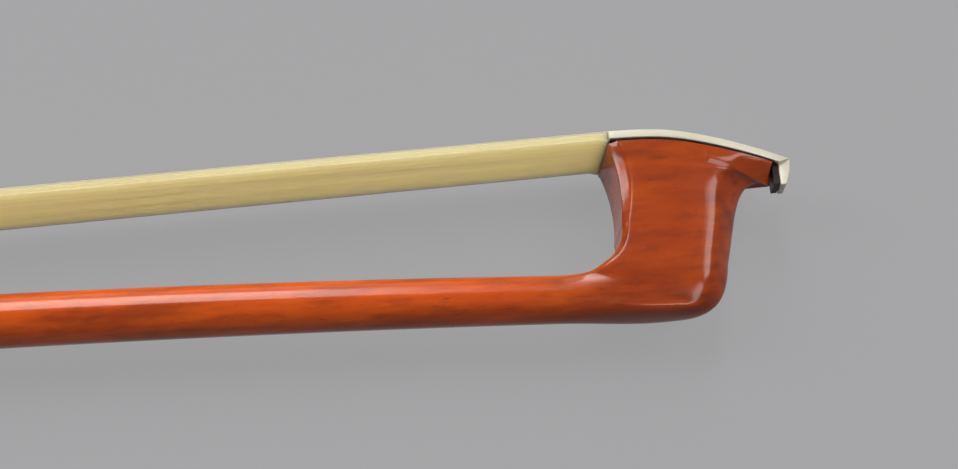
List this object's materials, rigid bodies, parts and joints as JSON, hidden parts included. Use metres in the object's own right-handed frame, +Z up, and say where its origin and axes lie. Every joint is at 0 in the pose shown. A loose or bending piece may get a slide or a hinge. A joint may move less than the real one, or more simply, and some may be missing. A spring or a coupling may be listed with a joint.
{
  "type": "violin bow",
  "caption": "Violin bow with a cambered wooden stick, faceted head, flat hair, and a frog that slides on the stick when the end screw turns.",
  "frame": {"origin": "bottom centre of the bounding box of the bow lying on its side", "axes": "+X along the stick from the button to the head, +Y towards the hair's playing side, +Z up from the side that it lies on"},
  "size_m": [0.7432, 0.0262, 0.0132],
  "materials": {
    "pernambuco": "orange-brown hardwood under a clear gloss varnish",
    "bone": "polished bone, slightly warm white",
    "ebony": "polished black hardwood",
    "horsehair": "combed cream horsehair",
    "silver": "polished silver with fine wear",
    "brass": "machined brass",
    "steel": "turned steel",
    "pearl": "polished mother of pearl",
    "leather": "thin dark brown leather",
    "plug_wood": "bare pale hardwood",
    "thread": "waxed red thread"
  },
  "bodies": {
    "stick": {"stick": "pernambuco", "head_plate": "bone", "head_liner": "ebony", "tip_plug": "plug_wood", "tip_knot_thread": "thread", "hair": "horsehair", "thumb_leather": "leather", "lapping": "silver"},
    "frog": {"frog_body": "ebony", "underslide": "silver", "underslide_pin_rear": "silver", "underslide_pin_front": "silver", "eyelet": "brass", "ferrule": "silver", "ferrule_wedge": "plug_wood", "slide_ebony": "ebony", "slide_pearl": "pearl", "heel_plate": "silver", "heel_pin_back": "silver", "heel_pin_left": "silver", "heel_pin_right": "silver", "eye_ring_left": "silver", "eye_ring_right": "silver", "eye_pearl_left": "pearl", "eye_pearl_right": "pearl", "frog_plug": "plug_wood", "frog_knot_thread": "thread"},
    "screw": {"screw": "steel", "button_front_ring": "silver", "button_core": "ebony", "button_rear_ring": "silver", "button_pearl": "pearl", "button_pin_front": "silver", "button_pin_rear": "silver"}
  },
  "joints": [
    {"name": "screw_turn", "type": "hinge", "parent": "stick", "child": "screw", "pos_m": [-0.35844, -0.00775, 0.0066], "axis": [1, 0, 0], "range_deg": [-1081, 1801]},
    {"name": "frog_travel", "type": "slide", "parent": "stick", "child": "frog", "axis": [-1, 0, 0], "range_m": [-0.0021, 0.0035], "deforming": ["hair"]}
  ],
  "couplings": [
    {"joint": "screw_turn", "follows": "frog_travel", "rad_per_m": 8976}
  ]
}
